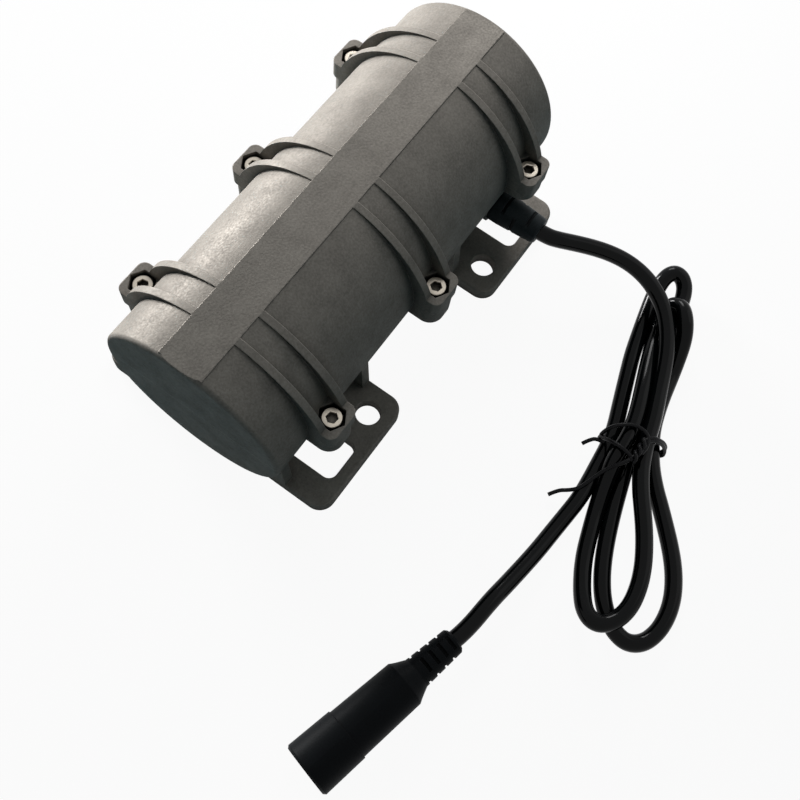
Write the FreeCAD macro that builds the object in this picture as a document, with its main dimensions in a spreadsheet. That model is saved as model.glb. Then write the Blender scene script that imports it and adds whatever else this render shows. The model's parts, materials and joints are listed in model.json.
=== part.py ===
"""Vibration motor: an inner-rotor motor with an eccentric weight on each shaft end, clamped
in a two-part cast housing, with its supply cord tied in a hank and an in-line socket.

+X runs along the shaft, +Z is up, and the origin is on the mounting surface under the middle
of the housing. Millimetres.
"""
import FreeCAD, Part
import math
import os

import Sketcher

Vector = FreeCAD.Vector
Rotation = FreeCAD.Rotation

SIZES = {
    # housing
    "housing_radius": 26.0,
    "housing_length": 123.0,
    "axis_height": 29.0,
    "end_rounding": 1.2,
    "band_half_width": 6.0,
    "band_rise": 0.2,
    "chamber_radius": 23.0,
    "chamber_end": 57.0,
    "chamber_start": 27.0,
    "bulkhead_bore": 15.0,
    "middle_radius": 21.0,
    "middle_end": 15.5,
    "cradle_radius": 18.08,
    "cradle_end": 25.1,
    # screw bosses and the ribs that run into them
    "screw_pitch": 44.0,
    "screw_offset": 29.0,
    "boss_half_width": 5.25,
    "boss_reach": 4.15,
    "boss_corner": 2.2,
    "lower_boss_corner": 4.1,
    "boss_rise": 5.3,
    "boss_drop": 6.5,
    "short_boss_drop": 2.6,
    "boss_root": 24.0,
    "rib_thickness": 2.0,
    "rib_arc_radius": 31.5,
    "rib_root_radius": 24.5,
    "pocket_flats": 6.5,
    "pocket_recess": 0.65,
    "screw_clearance": 1.7,
    "tapped_radius": 1.53,
    # feet
    "foot_thickness": 4.0,
    "foot_inner": 20.5,
    "foot_outer": 58.0,
    "foot_half_width": 37.0,
    "foot_corner": 4.5,
    "foot_edge_round": 0.6,
    "foot_hole_pitch": 57.0,
    "foot_hole_span": 60.0,
    "foot_hole_radius": 3.5,
    "gusset_thickness": 3.0,
    "gusset_reach": 24.8,
    "gusset_rise": 18.0,
    "cutout_half_width": 6.0,
    "cutout_inner": 19.5,
    "cutout_outer": 33.5,
    "cutout_corner": 2.5,
    # cord exit
    "exit_along": 40.0,
    "exit_height": 17.0,
    "exit_boss_radius": 5.5,
    "exit_face": 24.4,
    "exit_hole": 3.65,
    "relief_neck_end": 20.5,
    "relief_length": 14.9,
    "relief_radius": 4.75,
    "relief_tip_radius": 3.9,
    "relief_core": 2.9,
    "relief_slot": 1.0,
    "relief_slot_pitch": 3.8,
    # fasteners
    "screw_radius": 1.5,
    "head_radius": 2.75,
    "head_height": 3.0,
    "screw_length": 6.0,
    "socket_flats": 2.5,
    "socket_depth": 1.5,
    # motor case
    "can_radius": 18.0,
    "can_bore": 16.8,
    "can_half_length": 21.0,
    "cap_thickness": 4.0,
    "spigot_radius": 16.75,
    "spigot_length": 3.0,
    "bearing_seat": 6.52,
    "seat_end": 24.0,
    "cap_eye": 4.6,
    "cap_screw_along": 19.1,
    # stator
    "core_start": -14.5,
    "core_end": 10.5,
    "core_radius": 16.75,
    "core_bore": 8.8,
    "insulator_thickness": 0.8,
    "tooth_half_width": 2.5,
    "slot_bottom": 14.0,
    "slot_top": 10.4,
    "coil_half_width": 4.8,
    "coil_low": 10.75,
    "coil_high": 12.9,
    "coil_overhang": 2.8,
    # rotor
    "shaft_radius": 2.5,
    "shaft_half_length": 52.0,
    "rotor_radius": 5.4,
    "magnet_radius": 8.1,
    "magnet_gap_deg": 6.0,
    "spacer_radius": 3.4,
    "bearing_width": 4.0,
    "bearing_radius": 6.5,
    "outer_ring_bore": 5.3,
    "inner_ring_radius": 3.7,
    "ball_circle": 4.5,
    "ball_radius": 1.0,
    "race_radius": 1.06,
    "weight_radius": 18.5,
    "weight_hub": 7.5,
    "weight_start": 31.0,
    "weight_length": 19.0,
    "set_screw_radius": 1.97,
    # cord and socket
    "cable_radius": 2.35,
    "jack_radius": 7.15,
    "jack_height": 7.15,
    "jack_length": 47.0,
    "jack_neck": 12.5,
    "jack_neck_radius": 4.1,
    "jack_shoulder": 16.4,
    "jack_shoulder_radius": 6.1,
    "jack_seam": 34.4,
    "jack_mouth": 3.0,
    "jack_depth": 9.5,
}
TEETH = 6
BALLS = 8
POLES = 4
HUG = 0.02  # gap left between a piece and what it is pressed onto
WIRE_TURN = 211.0  # angle round the shaft, in degrees from +Y, at which the feed wires run

document = FreeCAD.newDocument("VibrationMotor")
sheet = document.addObject("Spreadsheet::Sheet", "Sizes")
for row, (alias, number) in enumerate(SIZES.items(), start=1):
    sheet.set(f"A{row}", alias)
    sheet.set(f"B{row}", str(number))
    sheet.setAlias(f"B{row}", alias)
document.recompute()


class Size:
    """A length together with the spreadsheet expression that it comes from."""

    def __init__(self, value, text):
        self.value = value
        self.text = text

    def join(self, other, sign, value):
        return Size(value, f"({self.text} {sign} {other.text})")

    def __add__(self, other):
        other = as_size(other)
        return self.join(other, "+", self.value + other.value)

    def __sub__(self, other):
        other = as_size(other)
        return self.join(other, "-", self.value - other.value)

    def __mul__(self, other):
        other = as_size(other)
        return self.join(other, "*", self.value * other.value)

    def __truediv__(self, other):
        other = as_size(other)
        return self.join(other, "/", self.value / other.value)

    def __radd__(self, other):
        return as_size(other) + self

    def __rsub__(self, other):
        return as_size(other) - self

    def __rmul__(self, other):
        return as_size(other) * self

    def __neg__(self):
        return -1 * self


def as_size(number):
    return number if isinstance(number, Size) else Size(float(number), f"{float(number):.6f}")


def size(alias):
    """The length in the spreadsheet cell that has this alias."""
    return Size(float(sheet.get(alias)), f"Sizes.{alias}")


def root(length):
    return Size(math.sqrt(length.value), f"sqrt({length.text})")


def bind(thing, **properties):
    """Binds each property to a Size; a double underscore in a name stands for a dot."""
    for name, length in properties.items():
        thing.setExpression(name.replace("__", "."), as_size(length).text)


# ---------------------------------------------------------------- sketches and bodies


def new_body(label):
    body = document.addObject("PartDesign::Body", label)
    body.Label = label
    return body


def plane_of(body, role):
    return next(item for item in body.Origin.OriginFeatures if item.Role == role)


def new_sketch(body, name, role, offset=0.0):
    """An empty sketch on one of the body's origin planes, moved along its normal by offset."""
    sketch = body.newObject("Sketcher::SketchObject", name)
    sketch.AttachmentSupport = (plane_of(body, role), [""])
    sketch.MapMode = "FlatFace"
    offset = as_size(offset)
    sketch.AttachmentOffset.Base.z = offset.value
    bind(sketch, AttachmentOffset__Base__z=offset)
    return sketch


def pin_point(sketch, geometry, end, across, up):
    """Fixes a point of the sketch at its distances from the origin."""
    for kind, axis, value in (("DistanceX", -2, as_size(across)), ("DistanceY", -1, as_size(up))):
        if abs(value.value) < 1e-9:
            sketch.addConstraint(Sketcher.Constraint("PointOnObject", geometry, end, axis))
            continue
        index = sketch.addConstraint(Sketcher.Constraint(kind, -1, 1, geometry, end, value.value))
        sketch.setExpression(f"Constraints[{index}]", value.text)


def arc_between(start, stop, radius, turn):
    """The arc from start to stop that turns left (1) or right (-1) and is under half a circle."""
    chord = stop - start
    rise = math.sqrt(max(radius * radius - chord.Length ** 2 / 4, 0.0))
    left = Vector(-chord.y, chord.x, 0) / chord.Length
    centre = (start + stop) / 2 + left * rise * turn
    first = math.atan2(start.y - centre.y, start.x - centre.x)
    last = math.atan2(stop.y - centre.y, stop.x - centre.x)
    if turn < 0:
        first, last = last, first
    circle = Part.Circle(centre, Vector(0, 0, 1), radius)
    return Part.ArcOfCircle(circle, first, last)


def outline(sketch, *steps):
    """Draws a closed outline: each step is a corner (across, up), which a straight side leaves,
    or (across, up, radius, turn), which an arc leaves."""
    corners = [Vector(as_size(step[0]).value, as_size(step[1]).value, 0) for step in steps]
    ends = []
    for number, step in enumerate(steps):
        here = corners[number]
        there = corners[(number + 1) % len(steps)]
        if len(step) == 2:
            item = sketch.addGeometry(Part.LineSegment(here, there), False)
            ends.append((item, 1, 2))
            continue
        radius, turn = as_size(step[2]), step[3]
        item = sketch.addGeometry(arc_between(here, there, radius.value, turn), False)
        ends.append((item, 1, 2) if turn > 0 else (item, 2, 1))
        index = sketch.addConstraint(Sketcher.Constraint("Radius", item, radius.value))
        sketch.setExpression(f"Constraints[{index}]", radius.text)
    for number, step in enumerate(steps):
        item, first, _ = ends[number]
        before, _, last = ends[number - 1]
        sketch.addConstraint(Sketcher.Constraint("Coincident", before, last, item, first))
        pin_point(sketch, item, first, step[0], step[1])


def rectangle(sketch, half_width, half_height):
    """A rectangle about the sketch's origin."""
    outline(sketch, (-half_width, -half_height), (half_width, -half_height),
            (half_width, half_height), (-half_width, half_height))


def circle(sketch, across, up, radius):
    radius = as_size(radius)
    centre = Vector(as_size(across).value, as_size(up).value, 0)
    item = sketch.addGeometry(Part.Circle(centre, Vector(0, 0, 1), radius.value), False)
    pin_point(sketch, item, 3, across, up)
    index = sketch.addConstraint(Sketcher.Constraint("Radius", item, radius.value))
    sketch.setExpression(f"Constraints[{index}]", radius.text)


def feature(body, kind, name, profile, **properties):
    """Adds a Pad, Pocket, Revolution or Groove of the profile and binds its sizes."""
    made = body.newObject(f"PartDesign::{kind}", name)
    made.Profile = (profile, [""])
    profile.Visibility = False
    bind(made, **properties)
    return made


def spin(body, kind, name, profile, height):
    """Turns the profile right round the line at this height in the sketch."""
    level = as_size(height).value
    line = Part.LineSegment(Vector(-1, level, 0), Vector(1, level, 0))
    item = profile.addGeometry(line, True)
    profile.addConstraint(Sketcher.Constraint("Horizontal", item))
    pin_point(profile, item, 1, -1, height)
    made = body.newObject(f"PartDesign::{kind}", name)
    made.Profile = (profile, [""])
    made.ReferenceAxis = (profile, ["Axis0"])
    made.Angle = 360
    return made


def edges_where(made, test):
    shape = made.Shape
    return [f"Edge{number}" for number, edge in enumerate(shape.Edges, start=1) if test(edge)]


def round_edges(body, base, name, radius, test):
    document.recompute()
    made = body.newObject("PartDesign::Fillet", name)
    made.Base = (base, edges_where(base, test))
    bind(made, Radius=radius)
    return made


# ---------------------------------------------------------------- primitives and booleans

ALONG_X = Rotation(Vector(0, 1, 0), 90)


def rod(name, radius, start, stop, up=0.0, out=0.0):
    """A cylinder along X from start to stop; up and out place its axis."""
    made = document.addObject("Part::Cylinder", name)
    made.Placement = FreeCAD.Placement(Vector(0, 0, 0), ALONG_X)
    bind(made, Radius=radius, Height=as_size(stop) - start)
    bind(made, Placement__Base__x=start, Placement__Base__y=out, Placement__Base__z=up)
    return made


def axle_rod(name, radius, start, stop):
    return rod(name, radius, start, stop, up=size("axis_height"))


def boolean(kind, name, first, *others):
    """Part::Cut, or a Part::MultiFuse or MultiCommon, of the objects."""
    if kind == "Cut":
        made = document.addObject("Part::Cut", name)
        made.Base = first
        made.Tool = others[0] if len(others) == 1 else boolean("MultiFuse", f"{name}_tools", *others)
        return made
    made = document.addObject(f"Part::{kind}", name)
    made.Shapes = [first, *others]
    return made


def compound(name, *members):
    made = document.addObject("Part::Compound", name)
    made.Links = list(members)
    made.Label = name
    return made


def ring(name, outer, bore, start, stop):
    """A ring round the shaft axis."""
    made = boolean("Cut", name, axle_rod(f"{name}_outside", outer, start, stop),
                   axle_rod(f"{name}_bore", bore, as_size(start) - 1, as_size(stop) + 1))
    made.Label = name
    return made


def turned(shape, degrees):
    """A copy of the shape turned about the shaft axis."""
    copy = shape.copy()
    copy.rotate(Vector(0, 0, SIZES["axis_height"]), Vector(1, 0, 0), degrees)
    return copy


def plain(name, shape):
    """A sub-part that neither a body nor a primitive fits."""
    made = document.addObject("Part::Feature", name)
    made.Label = name
    made.Shape = shape
    made.Placement = shape.Placement
    return made


# ---------------------------------------------------------------- housing


def screw_places():
    pitch = size("screw_pitch")
    return [(along * pitch, side * size("screw_offset"), side)
            for along in (-1, 0, 1) for side in (-1, 1)]


def boss_outline(sketch, places, corner):
    """Boss outlines at these screws: straight sides into the wall and a rounded flat end."""
    half = size("boss_half_width")
    for along, across, side in places:
        wall, end = side * size("boss_root"), across + side * size("boss_reach")
        outline(sketch, (along - half, wall), (along - half, end - side * corner, corner, -side),
                (along - half + corner, end), (along + half - corner, end, corner, -side),
                (along + half, end - side * corner), (along + half, wall))


def cavity(body):
    """Hollows the housing: a weight chamber at each end and the cradles that grip the motor."""
    axis = size("axis_height")
    steps = [("chamber_end", None), ("chamber_end", "chamber_radius"),
             ("chamber_start", "chamber_radius"), ("chamber_start", "bulkhead_bore"),
             ("cradle_end", "bulkhead_bore"), ("cradle_end", "cradle_radius"),
             ("middle_end", "cradle_radius"), ("middle_end", "middle_radius")]
    half = [(size(along), axis + size(radius) if radius else axis) for along, radius in steps]
    mirrored = [(-along, up) for along, up in reversed(half)]
    sketch = new_sketch(body, f"{body.Label}_cavity", "XZ_Plane")
    outline(sketch, *half, *mirrored)
    return spin(body, "Groove", f"{body.Label}_hollow", sketch, axis)


def half_barrel(body, below):
    """Half of the round barrel, turned from the parting plane, with rounded end edges."""
    half, radius = size("housing_length") / 2, size("housing_radius")
    edge = size("end_rounding")
    sketch = new_sketch(body, f"{body.Label}_section", "XY_Plane", size("axis_height"))
    outline(sketch, (-half, 0), (-half, radius - edge, edge, -1), (edge - half, radius),
            (half - edge, radius, edge, -1), (half, radius - edge), (half, 0))
    made = spin(body, "Revolution", f"{body.Label}_barrel", sketch, 0)
    made.Angle = 180
    made.Reversed = below
    return made


def upper_shell():
    body = new_body("upper_shell")
    axis, radius = size("axis_height"), size("housing_radius")
    band = size("band_half_width")
    band_level = axis + root(radius * radius - band * band) + size("band_rise")

    half_barrel(body, False)
    crown = new_sketch(body, "crown_plan", "XY_Plane", axis + radius + 1)
    rectangle(crown, size("housing_length"), radius)
    feature(body, "Pocket", "crown_cut", crown, Length=axis + radius + 1 - band_level)
    strip = new_sketch(body, "band_plan", "XY_Plane", axis + size("chamber_radius"))
    rectangle(strip, size("housing_length") / 2 - size("end_rounding") * 0.8, band)
    feature(body, "Pad", "flat_band", strip, Length=band_level - axis - size("chamber_radius"))
    cavity(body)

    plan = new_sketch(body, "upper_boss_plan", "XY_Plane", axis)
    boss_outline(plan, screw_places(), size("boss_corner"))
    feature(body, "Pad", "upper_bosses", plan, Length=size("boss_rise"))

    ribs = [boss_rib(body, band, band_level, edge) for edge in (-1, 1)]
    document.recompute()
    rows = body.newObject("PartDesign::LinearPattern", "rib_rows")
    rows.Originals = ribs
    rows.Direction = (plane_of(body, "X_Axis"), [""])
    rows.Occurrences = 3
    bind(rows, Length=2 * size("screw_pitch"))
    body.Tip = rows

    top = axis + size("boss_rise")
    pockets = new_sketch(body, "head_pocket_plan", "XY_Plane", top)
    flat = size("pocket_flats") / 2
    point = flat / math.cos(math.pi / 6)
    for along, across, _ in screw_places():
        outline(pockets, (along + flat, across - point / 2), (along + flat, across + point / 2),
                (along, across + point), (along - flat, across + point / 2),
                (along - flat, across - point / 2), (along, across - point))
    feature(body, "Pocket", "head_pockets", pockets,
            Length=size("head_height") + size("pocket_recess"))
    holes = new_sketch(body, "screw_hole_plan", "XY_Plane", top)
    for along, across, _ in screw_places():
        circle(holes, along, across, size("screw_clearance"))
    feature(body, "Pocket", "screw_holes", holes, Length=2 * size("boss_rise"))
    return body


def boss_rib(body, band, band_level, edge):
    """One pair of arched ribs of the first boss row: each springs from the edge of the flat
    band and comes down on the boss in one arc, flush with the boss's outer or inner side."""
    axis, arc = size("axis_height"), size("rib_arc_radius")
    root_radius = size("rib_root_radius")
    centre = band_level - root(arc * arc - band * band)
    top = axis + size("boss_rise")
    foot = root(arc * arc - (top - centre) * (top - centre))
    inner_up = axis + root(root_radius * root_radius - band * band)
    reach = size("boss_half_width")
    start = -size("screw_pitch") + (-reach if edge < 0 else reach - size("rib_thickness"))
    sketch = new_sketch(body, f"rib_profile_{'near' if edge < 0 else 'far'}", "YZ_Plane", start)
    for side in (-1, 1):
        outline(sketch, (side * band, band_level, arc, -side), (side * foot, top),
                (side * foot, axis), (side * root_radius, axis, root_radius, side),
                (side * band, inner_up))
    return feature(body, "Pad", f"ribs_{'near' if edge < 0 else 'far'}", sketch,
                   Length=size("rib_thickness"))


def lower_shell():
    body = new_body("lower_shell")
    axis, radius = size("axis_height"), size("housing_radius")
    half_barrel(body, True)

    plates = new_sketch(body, "foot_plan", "XY_Plane")
    inner, outer, width = size("foot_inner"), size("foot_outer"), size("foot_half_width")
    for end in (-1, 1):
        outline(plates, (end * inner, -width), (end * outer, -width), (end * outer, width),
                (end * inner, width))
    feet = feature(body, "Pad", "foot_plates", plates, Length=size("foot_thickness"))
    corners = round_edges(body, feet, "foot_corners", size("foot_corner"), foot_corner_edge)
    round_edges(body, corners, "foot_edge_rounding", size("foot_edge_round"), foot_rim_edge)

    for name, start in (("near_end", -outer), ("near_inner", -inner - size("gusset_thickness")),
                        ("far_inner", inner), ("far_end", outer - size("gusset_thickness"))):
        web = new_sketch(body, f"gusset_{name}", "YZ_Plane", start)
        reach, rise = size("gusset_reach"), size("gusset_rise")
        lean = root(radius * radius - (axis - rise) * (axis - rise)) - 0.1
        floor = size("foot_thickness") / 2
        outline(web, (-reach, floor), (reach, floor), (lean, rise), (-lean, rise))
        feature(body, "Pad", f"gusset_web_{name}", web, Length=size("gusset_thickness"))

    exit_boss = new_sketch(body, "exit_boss_plan", "XZ_Plane", size("exit_face"))
    circle(exit_boss, size("exit_along"), size("exit_height"), size("exit_boss_radius"))
    pad = feature(body, "Pad", "exit_boss", exit_boss, Length=size("exit_face") / 2)
    pad.Reversed = True
    cavity(body)

    places = screw_places()
    over_cord = [place for place in places if place[0].value > 0 and place[2] < 0]
    for name, group, drop in (
            ("lower_bosses", [place for place in places if place not in over_cord], "boss_drop"),
            ("short_boss", over_cord, "short_boss_drop")):
        plan = new_sketch(body, f"{name}_plan", "XY_Plane", axis)
        boss_outline(plan, group, size("lower_boss_corner"))
        bosses = feature(body, "Pad", name, plan, Length=size(drop))
        bosses.Reversed = True

    above = size("foot_thickness") + 1
    opening = new_sketch(body, "cutout_plan", "XY_Plane", above)
    half, corner = size("cutout_half_width"), size("cutout_corner")
    near, far = size("cutout_inner"), size("cutout_outer")
    for end in (-1, 1):
        for side in (-1, 1):
            middle = end * size("screw_pitch")
            outline(opening, (middle - half, side * near), (middle + half, side * near),
                    (middle + half, side * (far - corner), corner, side),
                    (middle + half - corner, side * far),
                    (middle - half + corner, side * far, corner, side),
                    (middle - half, side * (far - corner)))
    feature(body, "Pocket", "foot_cutouts", opening, Length=2 * above)

    holes = new_sketch(body, "foot_hole_plan", "XY_Plane", above)
    for end in (-1, 1):
        for side in (-1, 1):
            circle(holes, end * size("foot_hole_pitch") / 2, side * size("foot_hole_span") / 2,
                   size("foot_hole_radius"))
    feature(body, "Pocket", "foot_holes", holes, Length=2 * above)

    threads = new_sketch(body, "thread_plan", "XY_Plane", axis)
    for along, across, _ in screw_places():
        circle(threads, along, across, size("tapped_radius"))
    feature(body, "Pocket", "screw_threads", threads, Length=2 * size("boss_drop"))

    for name, radius, deep in (("spot_face", size("relief_radius") + 0.2, 5),
                               ("cord_exit", size("exit_hole"), 5 + size("exit_face") / 2)):
        passage = new_sketch(body, f"{name}_plan", "XZ_Plane", size("exit_face") + 5)
        circle(passage, size("exit_along"), size("exit_height"), radius)
        feature(body, "Pocket", name, passage, Length=deep)
    return body


def foot_corner_edge(edge):
    """The upright edges at the corners of the foot plates."""
    box = edge.BoundBox
    upright = box.ZMax - box.ZMin > SIZES["foot_thickness"] / 2
    thin = box.XMax - box.XMin < 1e-3 and box.YMax - box.YMin < 1e-3
    return upright and thin and abs(abs(box.YMin) - SIZES["foot_half_width"]) < 1e-3


def foot_rim_edge(edge):
    """The upper edge of each foot plate, clear of the barrel."""
    box = edge.BoundBox
    level = abs(box.ZMin - SIZES["foot_thickness"]) < 1e-3 and box.ZMax - box.ZMin < 1e-3
    return level and (abs(box.YMin) > 8 or box.YMax - box.YMin > 8)


# ---------------------------------------------------------------- fasteners


def cap_screw(at):
    """A socket head cap screw whose head's top is at this point, pointing down."""
    head = Part.makeCylinder(SIZES["head_radius"], SIZES["head_height"],
                             at - Vector(0, 0, SIZES["head_height"]))
    rim = [edge for edge in head.Edges if abs(edge.BoundBox.ZMin - at.z) < 1e-6]
    head = head.makeFillet(0.3, rim)
    socket = hexagon(SIZES["socket_flats"], SIZES["socket_depth"])
    socket.translate(at - Vector(0, 0, SIZES["socket_depth"]))
    length = SIZES["screw_length"]
    shank = Part.makeCylinder(SIZES["screw_radius"], length,
                              at - Vector(0, 0, SIZES["head_height"] + length))
    return head.cut(socket).fuse(shank).removeSplitter()


def hexagon(flats, height):
    """A hexagonal prism on the XY plane with two flats across X."""
    reach = flats / 2 / math.cos(math.pi / 6)
    corners = [Vector(reach * math.sin(turn * math.pi / 3), reach * math.cos(turn * math.pi / 3), 0)
               for turn in range(7)]
    return Part.Face(Part.makePolygon(corners)).extrude(Vector(0, 0, height))


def shell_screws():
    top = SIZES["axis_height"] + SIZES["boss_rise"] - SIZES["pocket_recess"]
    screws = [cap_screw(Vector(along.value, across.value, top))
              for along, across, _ in screw_places()]
    return plain("shell_screws", Part.makeCompound(screws))


def end_cap_screw():
    """A countersunk screw through the can into a cap's spigot, above the axis."""
    axis = SIZES["axis_height"]
    shank = Part.makeCylinder(0.78, 3.4, Vector(0, 0, axis + 13.8))
    head = Part.makeCone(0.78, 1.35, 0.8, Vector(0, 0, axis + 17.05))
    slot = Part.makeBox(2.4, 0.5, 0.5, Vector(-1.2, -0.25, axis + 17.5))
    return shank.fuse(head).cut(slot)


def cap_screw_turns():
    return [(side * SIZES["cap_screw_along"], turn) for side in (-1, 1) for turn in (0, 120, 240)]


def placed_round(shape):
    """Copies of a radial piece at the six end-cap screw places."""
    copies = []
    for along, turn in cap_screw_turns():
        copy = turned(shape, turn)
        copy.translate(Vector(along, 0, 0))
        copies.append(copy)
    return Part.makeCompound(copies)


def end_cap_screws():
    return plain("end_cap_screws", placed_round(end_cap_screw()))


# ---------------------------------------------------------------- motor case


def motor_can():
    half = size("can_half_length")
    tube = ring("can_tube", size("can_radius"), size("can_bore"), -half, half)
    axis = SIZES["axis_height"]
    sink = Part.makeCone(0.88, 1.78, 1.2, Vector(0, 0, axis + 16.95))
    drill = sink.fuse(Part.makeCylinder(0.88, 3, Vector(0, 0, axis + 14)))
    cutter = plain("can_screw_cutter", placed_round(drill))
    made = boolean("Cut", "motor_can", tube, cutter)
    made.Label = "motor_can"
    return made


def end_cap(label, side):
    """A cap with a spigot in the can, a bearing seat open to the inside and a shaft eye."""
    body = new_body(label)
    axis, half = size("axis_height"), size("can_half_length")
    spigot, plate = half - size("spigot_length"), half + size("cap_thickness")
    steps = [(spigot, "bearing_seat"), (spigot, "spigot_radius"), (half, "spigot_radius"),
             (half, "can_radius"), (plate, "can_radius"), (plate, "cap_eye"),
             (size("seat_end"), "cap_eye"), (size("seat_end"), "bearing_seat")]
    sketch = new_sketch(body, f"{label}_section", "XZ_Plane")
    outline(sketch, *[(side * along, axis + size(radius)) for along, radius in steps])
    spin(body, "Revolution", f"{label}_turned", sketch, axis)
    drill = new_sketch(body, f"{label}_screw_plan", "XY_Plane", axis + size("can_radius"))
    circle(drill, side * size("cap_screw_along"), 0, 0.88)
    pocket = feature(body, "Pocket", f"{label}_screw_hole", drill, Length=4.5)
    document.recompute()
    pattern = body.newObject("PartDesign::PolarPattern", f"{label}_screw_holes")
    pattern.Originals = [pocket]
    line = new_sketch_axis(body, label)
    pattern.Axis = (line, ["Axis0"])
    pattern.Angle = 360
    pattern.Occurrences = 3
    body.Tip = pattern
    if side > 0:
        lead = new_sketch(body, f"{label}_wire_plan", "YZ_Plane", plate)
        for place in wire_places():
            circle(lead, place.y, place.z, 0.9)
        feature(body, "Pocket", f"{label}_wire_holes", lead, Length=plate - spigot + 1)
    return body


def new_sketch_axis(body, label):
    """A sketch that holds the shaft axis as a construction line."""
    sketch = new_sketch(body, f"{label}_axis", "XZ_Plane")
    axis = size("axis_height")
    line = Part.LineSegment(Vector(-1, axis.value, 0), Vector(1, axis.value, 0))
    item = sketch.addGeometry(line, True)
    sketch.addConstraint(Sketcher.Constraint("Horizontal", item))
    pin_point(sketch, item, 1, -1, axis)
    return sketch


# ---------------------------------------------------------------- stator


def lamination(name, start, stop, clearance=0.0):
    """A toothed ring: the slots leave teeth that carry the coils, with shoes at the bore."""
    axis = SIZES["axis_height"]
    thickness = stop - start
    at = Vector(start, 0, axis)
    along = Vector(1, 0, 0)
    disc = Part.makeCylinder(SIZES["core_radius"], thickness, at, along)
    disc = disc.cut(Part.makeCylinder(SIZES["core_bore"], thickness, at, along))
    outside = Part.makeCylinder(SIZES["slot_bottom"], thickness, at, along)
    inside = Part.makeCylinder(SIZES["slot_top"], thickness, at, along)
    gap = outside.cut(inside)
    width = SIZES["tooth_half_width"] + clearance
    for tooth in range(TEETH):
        bar = Part.makeBox(thickness, 2 * width, SIZES["core_radius"],
                           Vector(start, -width, axis))
        gap = gap.cut(turned(bar, tooth * 360 / TEETH))
    mouth = Part.makeBox(thickness, 2.0, SIZES["slot_top"] + 1, Vector(start, -1.0, axis))
    mouths = [turned(mouth, (tooth + 0.5) * 360 / TEETH) for tooth in range(TEETH)]
    return disc.cut(gap).cut(Part.makeCompound(mouths))


def stator():
    start, stop = SIZES["core_start"], SIZES["core_end"]
    plate = SIZES["insulator_thickness"]
    core = plain("stator_core", lamination("core", start, stop))
    ends = [lamination("plate", start - plate, start), lamination("plate", stop, stop + plate)]
    insulators = plain("stator_insulators", Part.makeCompound(ends))
    return [core, insulators, stator_windings(start - plate, stop + plate)]


def stator_windings(start, stop):
    """Six coils, each a rounded loop round its tooth."""
    axis = SIZES["axis_height"]
    gap = 0.1
    half = SIZES["coil_half_width"]
    hole = SIZES["tooth_half_width"] + gap
    over = SIZES["coil_overhang"] - SIZES["insulator_thickness"]
    low, high = SIZES["coil_low"], SIZES["coil_high"]
    block = Part.makeBox(stop - start + 2 * (over + gap), 2 * half, high - low,
                         Vector(start - over - gap, -half, axis + low))
    upright = [edge for edge in block.Edges if edge.BoundBox.ZMax - edge.BoundBox.ZMin > 1]
    block = block.makeFillet(2.2, upright)
    window = Part.makeBox(stop - start + 2 * gap, 2 * hole, high - low,
                          Vector(start - gap, -hole, axis + low))
    coil = block.cut(window)
    coils = [turned(coil, tooth * 360 / TEETH) for tooth in range(TEETH)]
    return plain("stator_windings", Part.makeCompound(coils))


def driver_board():
    """A ring-shaped board on the far cap's spigot, with three switches and a controller."""
    face = SIZES["can_half_length"] - SIZES["spigot_length"]
    axis = SIZES["axis_height"]
    along = Vector(1, 0, 0)
    board = Part.makeCylinder(16.6, 1.2, Vector(face - 1.2, 0, axis), along)
    board = board.cut(Part.makeCylinder(7.5, 1.2, Vector(face - 1.2, 0, axis), along))
    switch = Part.makeBox(1.4, 5, 4, Vector(face - 2.6, -2.5, axis + 9.5))
    controller = Part.makeBox(1.0, 7, 4.6, Vector(face - 2.2, -3.5, axis + 9.2))
    for turn in (60, 120, 180):
        board = board.fuse(turned(switch, turn))
    return plain("driver_board", board.fuse(turned(controller, 300)).removeSplitter())


# ---------------------------------------------------------------- rotor


def bearing_ring(label, side, outer):
    """One race of a deep-groove bearing, with its ball track."""
    body = new_body(label)
    axis = size("axis_height")
    start = side * (size("seat_end") - size("bearing_width"))
    stop = side * size("seat_end")
    middle = (start + stop) / 2
    sketch = new_sketch(body, f"{label}_section", "XZ_Plane")
    track, circle_radius = size("race_radius"), size("ball_circle")
    if outer:
        lip, back = size("outer_ring_bore"), size("bearing_radius")
        drop = lip - circle_radius
    else:
        lip, back = size("inner_ring_radius"), size("shaft_radius") + HUG
        drop = circle_radius - lip
    half = root(track * track - drop * drop)
    turn = 1 if outer else -1
    outline(sketch, (start, axis + back), (start, axis + lip),
            (middle - side * half, axis + lip, track, -turn * side),
            (middle + side * half, axis + lip), (stop, axis + lip), (stop, axis + back))
    spin(body, "Revolution", f"{label}_turned", sketch, axis)
    return body


def ball_places(side):
    middle = side * (SIZES["seat_end"] - SIZES["bearing_width"] / 2)
    place = Vector(middle, 0, SIZES["axis_height"] + SIZES["ball_circle"])
    return [turned(Part.Vertex(place), ball * 360 / BALLS).Point for ball in range(BALLS)]


def bearing_balls(label, side):
    balls = [Part.makeSphere(SIZES["ball_radius"], place) for place in ball_places(side)]
    return plain(label, Part.makeCompound(balls))


def ball_cage(label, side):
    """A ring between the races with a pocket for each ball."""
    middle = side * (SIZES["seat_end"] - SIZES["bearing_width"] / 2)
    at, along = Vector(middle - 1.3, 0, SIZES["axis_height"]), Vector(1, 0, 0)
    cage = Part.makeCylinder(4.8, 2.6, at, along).cut(Part.makeCylinder(4.2, 2.6, at, along))
    pockets = [Part.makeSphere(SIZES["ball_radius"] + HUG, place) for place in ball_places(side)]
    return plain(label, cage.cut(Part.makeCompound(pockets)))


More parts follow.
